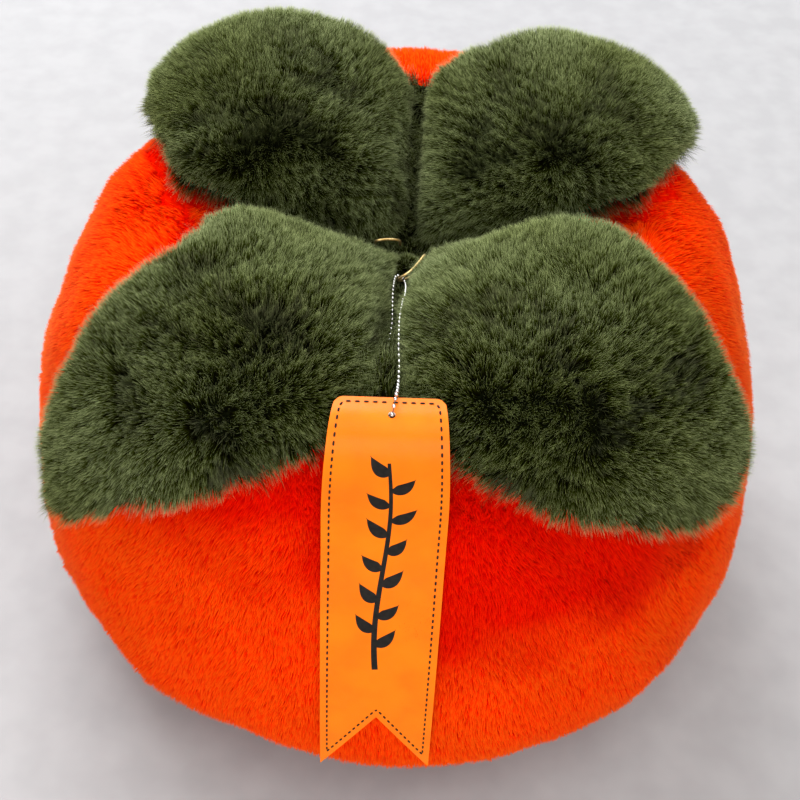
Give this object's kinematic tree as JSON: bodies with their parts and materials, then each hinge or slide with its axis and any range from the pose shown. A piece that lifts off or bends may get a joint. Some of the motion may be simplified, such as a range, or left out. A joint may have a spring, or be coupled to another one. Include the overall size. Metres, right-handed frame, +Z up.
{
  "type": "plush persimmon cushion",
  "caption": "Round stuffed persimmon cushion with plump fur leaves over a dimpled crown and a swallow-tailed hang tag on a ball chain.",
  "frame": {"origin": "middle of the bottom of the object's box, on the surface that it stands on", "axes": "+Z up out of the crown, -Y towards the side that the tag hangs on, +X to the right seen from there"},
  "size_m": [0.4084, 0.3953, 0.2891],
  "materials": {
    "plush": "short orange faux-fur pile",
    "leaf_fur": "long dark olive green faux fur",
    "gold_thread": "metallic gold thread",
    "chain_metal": "nickel-plated steel",
    "tag_leather": "satin orange faux leather"
  },
  "bodies": {
    "root": {"body": "plush", "leaf_front_left": "leaf_fur", "leaf_front_right": "leaf_fur", "leaf_back_left": "leaf_fur", "leaf_back_right": "leaf_fur", "centre_pad": "leaf_fur", "gold_cord": "gold_thread", "ball_chain": "chain_metal", "chain_connector": "chain_metal", "tag": "tag_leather"}
  },
  "joints": []
}
